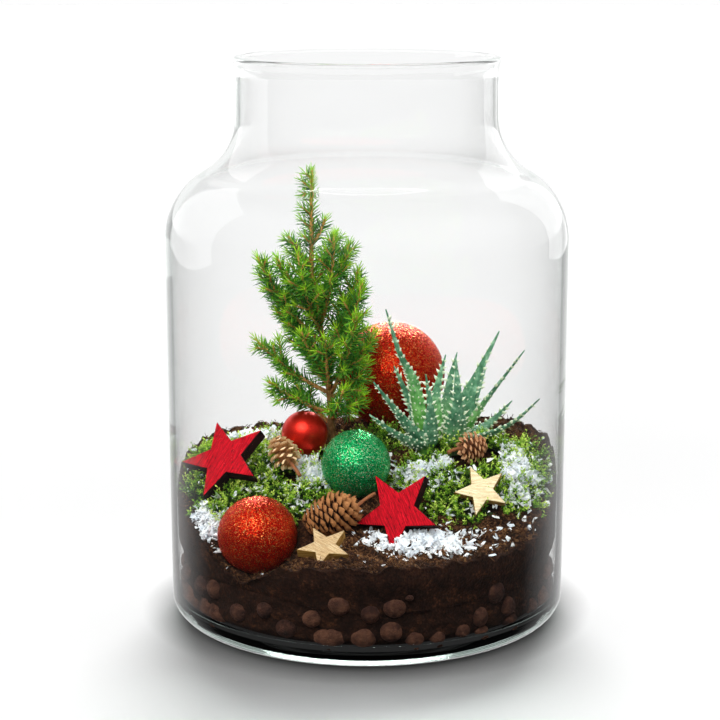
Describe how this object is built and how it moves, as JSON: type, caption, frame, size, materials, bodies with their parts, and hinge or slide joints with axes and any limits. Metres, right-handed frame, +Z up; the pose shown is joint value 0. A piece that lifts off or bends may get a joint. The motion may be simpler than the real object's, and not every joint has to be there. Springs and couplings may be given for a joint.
{
  "type": "glass plant terrarium",
  "caption": "Wide-necked glass jar planted with a dwarf spruce and a toothed aloe in banked soil and moss over clay pebbles, dressed with baubles, wooden stars, cones and snow.",
  "frame": {"origin": "centre of the jar's footprint, on the surface it stands on", "axes": "+Z up along the jar's axis; -Y is the front, where the soil is lowest; +X is to the right seen from the front"},
  "size_m": [0.2, 0.2, 0.28],
  "materials": {
    "jar_glass": "clear polished soda-lime glass with a faint green tint in the thick base",
    "expanded_clay": "dry brown expanded clay balls, matt and slightly pitted",
    "potting_soil": "moist dark potting soil with crumbs and fibres, matt",
    "moss": "fresh feathery moss, matt",
    "paper_snow": "loose white artificial snow flakes, matt",
    "spruce_bark": "thin scaly young bark",
    "spruce_needles": "green needles with lime tips on tan twigs, slightly waxy",
    "aloe_leaf": "blue-green fleshy leaf with cream teeth and tubercles, waxy",
    "red_glitter_bauble": "coarse red glitter over a red ball",
    "green_glitter_bauble": "coarse green glitter over a green ball",
    "red_satin_bauble": "satin metallic red lacquer",
    "red_wood": "red painted face with open grain, dark bare sides",
    "gold_wood": "gold painted face with open grain, darker sides",
    "cone_scales": "dry brown cone scales"
  },
  "bodies": {
    "root": {"glass_jar": "jar_glass", "clay_pebbles": "expanded_clay", "soil": "potting_soil", "moss_left": "moss", "moss_right": "moss", "moss_middle": "moss", "snow_front": "paper_snow", "snow_left": "paper_snow", "snow_behind_star": "paper_snow", "snow_middle": "paper_snow", "snow_moss_right": "paper_snow", "snow_right": "paper_snow", "bauble_red_front": "red_glitter_bauble", "bauble_green": "green_glitter_bauble", "bauble_red_satin": "red_satin_bauble", "bauble_red_back": "red_glitter_bauble", "star_red_left": "red_wood", "star_red_right": "red_wood", "star_gold_front": "gold_wood", "star_gold_right": "gold_wood", "cone_left": "cone_scales", "cone_middle": "cone_scales", "cone_right": "cone_scales", "spruce_trunk": "spruce_bark", "spruce_leader": "spruce_needles", "spruce_shoot_01": "spruce_needles", "spruce_shoot_02": "spruce_needles", "spruce_shoot_03": "spruce_needles", "spruce_shoot_04": "spruce_needles", "spruce_shoot_05": "spruce_needles", "spruce_shoot_06": "spruce_needles", "spruce_shoot_07": "spruce_needles", "spruce_shoot_08": "spruce_needles", "spruce_shoot_09": "spruce_needles", "spruce_shoot_10": "spruce_needles", "spruce_shoot_11": "spruce_needles", "spruce_shoot_12": "spruce_needles", "spruce_shoot_13": "spruce_needles", "spruce_shoot_14": "spruce_needles", "spruce_shoot_15": "spruce_needles", "spruce_shoot_16": "spruce_needles", "spruce_shoot_17": "spruce_needles", "spruce_shoot_18": "spruce_needles", "spruce_shoot_19": "spruce_needles", "spruce_shoot_20": "spruce_needles", "spruce_shoot_21": "spruce_needles", "spruce_shoot_22": "spruce_needles", "spruce_shoot_23": "spruce_needles", "spruce_shoot_24": "spruce_needles", "spruce_shoot_25": "spruce_needles", "aloe_left": "aloe_leaf", "aloe_right": "aloe_leaf"}
  },
  "joints": []
}
